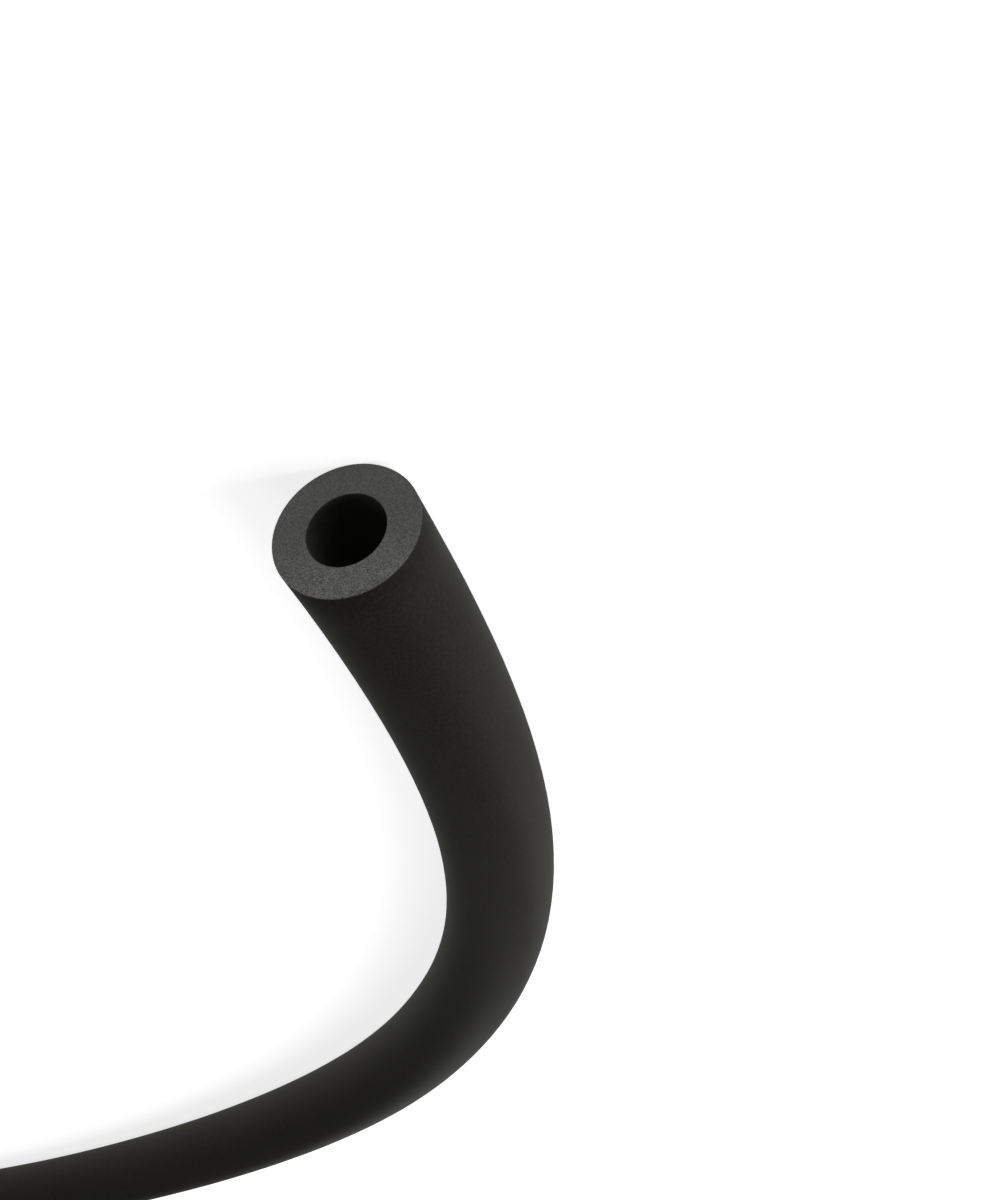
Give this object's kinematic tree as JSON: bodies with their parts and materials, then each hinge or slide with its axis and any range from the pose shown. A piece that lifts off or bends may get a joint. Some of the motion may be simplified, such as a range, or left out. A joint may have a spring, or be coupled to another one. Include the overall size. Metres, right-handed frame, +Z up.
{
  "type": "pipe insulation lagging",
  "caption": "Length of dark closed-cell rubber foam tube for lagging a pipe, lying on its side in a gentle bend, with a round bore and square-cut ends.",
  "frame": {"origin": "centre of the bounding box, at floor level", "axes": "+Z up; the tube lies on the floor from its near cut, which faces -X, bending through a right angle to its far cut, which faces -Y"},
  "size_m": [1.1988, 1.3762, 0.0554],
  "materials": {
    "rubber_foam": "matt closed-cell foam, nearly black on the skin, dark grey with fine pores on the cut ends"
  },
  "bodies": {
    "root": {"insulation_tube": "rubber_foam"}
  },
  "joints": []
}
